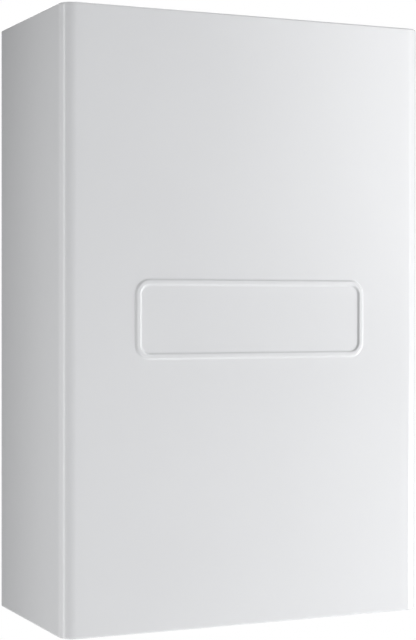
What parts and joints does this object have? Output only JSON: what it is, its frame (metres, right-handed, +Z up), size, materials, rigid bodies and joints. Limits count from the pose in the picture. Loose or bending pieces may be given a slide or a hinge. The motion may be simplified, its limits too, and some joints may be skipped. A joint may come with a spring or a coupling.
{
  "type": "combi boiler",
  "caption": "Wall-hung combi boiler: a wrap-round white casing over a rear frame that holds the burner, pump, heat exchangers and pipework.",
  "frame": {"origin": "middle of the hanging rail's rear face, on the wall", "axes": "+Z up, +X to the right seen from the front, +Y into the wall; the casing's front faces -Y"},
  "size_m": [0.481, 0.2409, 0.7794],
  "materials": {
    "white_paint": "semi-gloss white enamel on sheet steel",
    "galvanised": "galvanised sheet steel",
    "stainless": "stainless sheet steel",
    "cast_aluminium": "matt die-cast aluminium",
    "copper": "drawn copper pipe, slightly tarnished",
    "brass": "forged brass",
    "black_plastic": "matt moulded black plastic",
    "grey_plastic": "matt moulded grey plastic",
    "red_paint": "red powder coat on pressed steel",
    "red_plastic": "moulded red plastic",
    "lead_rubber": "silicone rubber lead",
    "ceramic": "unglazed alumina ceramic",
    "fibre": "pressed ceramic fibre",
    "foam": "dark open-cell foam",
    "board_green": "green circuit board with its parts",
    "clear_pane": "clear pane"
  },
  "bodies": {
    "chassis": {"wall_bracket": "galvanised", "rear_frame": "galvanised", "top_panel": "white_paint", "bottom_panel": "white_paint", "flue_collar": "white_paint", "flue_duct": "cast_aluminium", "air_inlet_cover": "white_paint", "heat_cell_bracket": "galvanised", "heat_cell_shell": "stainless", "heat_exchanger_core": "cast_aluminium", "door_insulation": "fibre", "burner_tube": "stainless", "burner_door": "cast_aluminium", "ignition_electrode": "ceramic", "flame_sensor": "ceramic", "ignition_transformer": "black_plastic", "ignition_lead": "lead_rubber", "fan_housing": "cast_aluminium", "fan_motor": "black_plastic", "mixing_duct": "cast_aluminium", "venturi": "cast_aluminium", "air_silencer": "black_plastic", "gas_valve": "cast_aluminium", "gas_injector_pipe": "cast_aluminium", "gas_pipe": "copper", "expansion_vessel": "red_paint", "vessel_bracket": "galvanised", "vessel_hose": "grey_plastic", "flow_group": "brass", "return_group": "brass", "cold_inlet": "brass", "plate_heat_exchanger": "stainless", "flow_pipe": "copper", "return_pipe": "copper", "pump_housing": "black_plastic", "pump_motor": "cast_aluminium", "diverter_motor": "black_plastic", "pressure_gauge": "black_plastic", "gauge_lens": "clear_pane", "condensate_hose": "grey_plastic", "condensate_trap": "grey_plastic", "control_box_bracket": "galvanised", "control_box_base": "grey_plastic", "control_box_lid": "grey_plastic", "circuit_board": "board_green", "cable_gland": "black_plastic"},
    "casing": {"front_casing": "white_paint", "casing_lining": "foam"},
    "fan_rotor": {"fan_impeller": "cast_aluminium"},
    "pump_rotor": {"pump_impeller": "grey_plastic"},
    "turbine": {"flow_turbine": "grey_plastic"},
    "vent_cap": {"air_vent_cap": "black_plastic"},
    "spindle": {"diverter_spindle": "brass"},
    "safety_knob": {"safety_valve_knob": "red_plastic"},
    "filling_tap_knob": {"filling_knob": "black_plastic"},
    "needle": {"gauge_needle": "red_plastic"},
    "button": {"reset_button": "black_plastic"},
    "rocker": {"power_switch": "black_plastic"}
  },
  "joints": [
    {"name": "casing_lift_off", "type": "slide", "parent": "chassis", "child": "casing", "axis": [0, -1, 0], "range_m": [0, 0.26]},
    {"name": "fan_spin", "type": "hinge", "parent": "chassis", "child": "fan_rotor", "pos_m": [0.028, -0.18, -0.299], "axis": [0, -1, 0], "continuous": true},
    {"name": "pump_spin", "type": "hinge", "parent": "chassis", "child": "pump_rotor", "pos_m": [0.15, -0.083, -0.5347], "axis": [0, -1, 0], "continuous": true},
    {"name": "turbine_spin", "type": "hinge", "parent": "chassis", "child": "turbine", "pos_m": [0.085, -0.075, -0.6737], "axis": [0, 0, 1], "continuous": true},
    {"name": "vent_cap_turn", "type": "hinge", "parent": "chassis", "child": "vent_cap", "pos_m": [0.183, -0.083, -0.45], "axis": [0, 0, 1], "range_deg": [0, 180]},
    {"name": "diverter_stroke", "type": "slide", "parent": "chassis", "child": "spindle", "axis": [0, 0, -1], "range_m": [0, 0.006]},
    {"name": "safety_knob_turn", "type": "hinge", "parent": "chassis", "child": "safety_knob", "pos_m": [0.15, -0.137, -0.612], "axis": [0, -1, 0], "range_deg": [0, 90]},
    {"name": "filling_knob_turn", "type": "hinge", "parent": "chassis", "child": "filling_tap_knob", "pos_m": [0.1, -0.112, -0.69], "axis": [0, 0, 1], "range_deg": [0, 180]},
    {"name": "needle_turn", "type": "hinge", "parent": "chassis", "child": "needle", "pos_m": [-0.045, -0.165, -0.677], "axis": [0, 0, 1], "range_deg": [0, 270]},
    {"name": "reset_press", "type": "slide", "parent": "chassis", "child": "button", "axis": [0, 1, 0], "range_m": [0, 0.002], "stiffness_N_per_m": 400, "springref_m": -0.001},
    {"name": "power_switch_rock", "type": "hinge", "parent": "chassis", "child": "rocker", "pos_m": [-0.1753, -0.2173, -0.4795], "axis": [1, 0, 0], "range_deg": [0, 12]}
  ]
}
